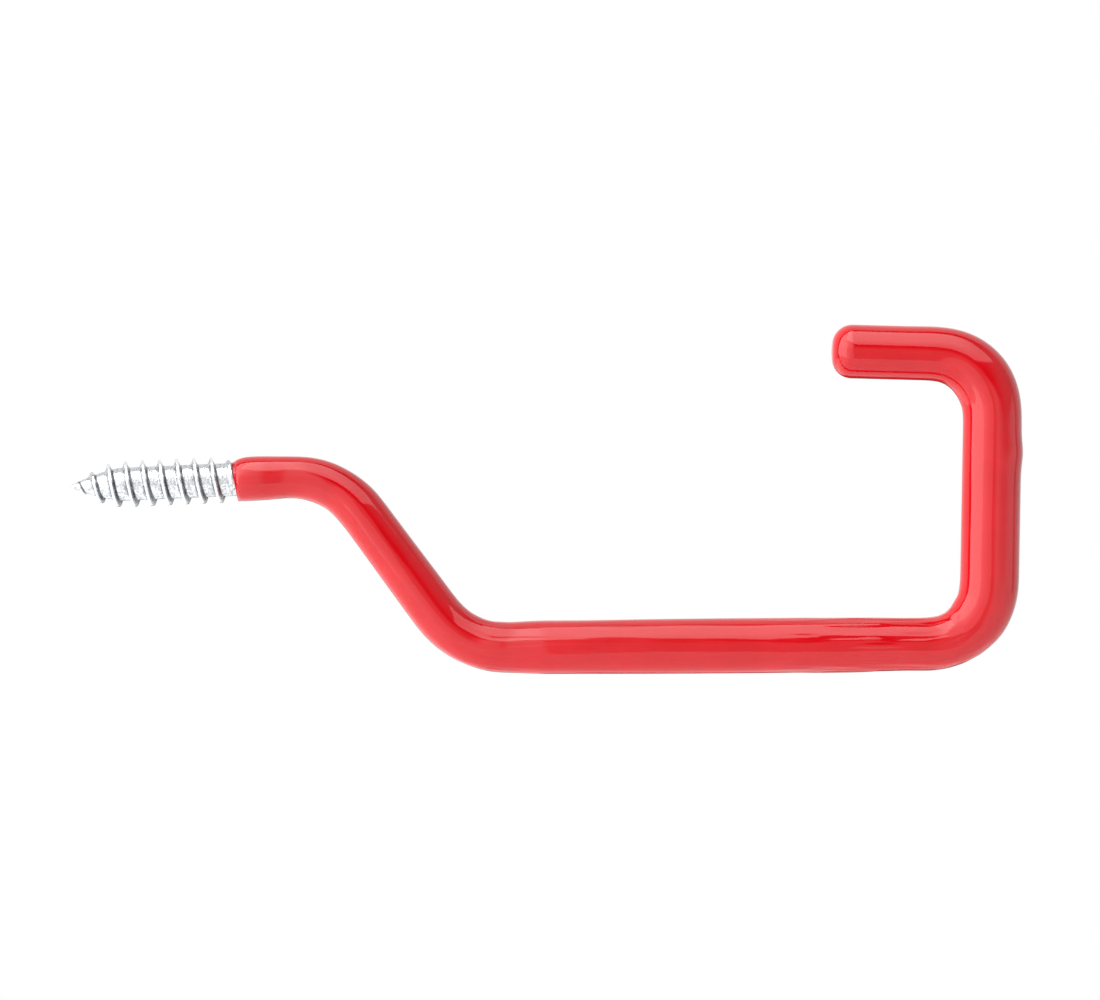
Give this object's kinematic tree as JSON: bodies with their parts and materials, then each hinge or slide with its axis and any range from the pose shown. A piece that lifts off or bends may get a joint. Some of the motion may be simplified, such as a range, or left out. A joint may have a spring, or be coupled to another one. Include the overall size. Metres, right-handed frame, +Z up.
{
  "type": "screw hook",
  "caption": "Screw-in utility hook: zinc-plated steel rod with a coarse wood-screw thread, bent into a long square bay and dip-coated in red vinyl.",
  "frame": {"origin": "on the screw axis at the middle of the coat's mouth, where the bare thread ends and the wall's face would be", "axes": "-X along the screw into the wall, +X out of the wall along the hook's reach, +Z up, the hook bent in the XZ plane and open upwards"},
  "size_m": [0.2006, 0.0122, 0.0731],
  "materials": {
    "zinc_plated_steel": "bright zinc plating, slightly mottled",
    "red_vinyl": "smooth dip-moulded vinyl, glossy"
  },
  "bodies": {
    "root": {"steel_rod": "zinc_plated_steel", "vinyl_coat": "red_vinyl"}
  },
  "joints": []
}
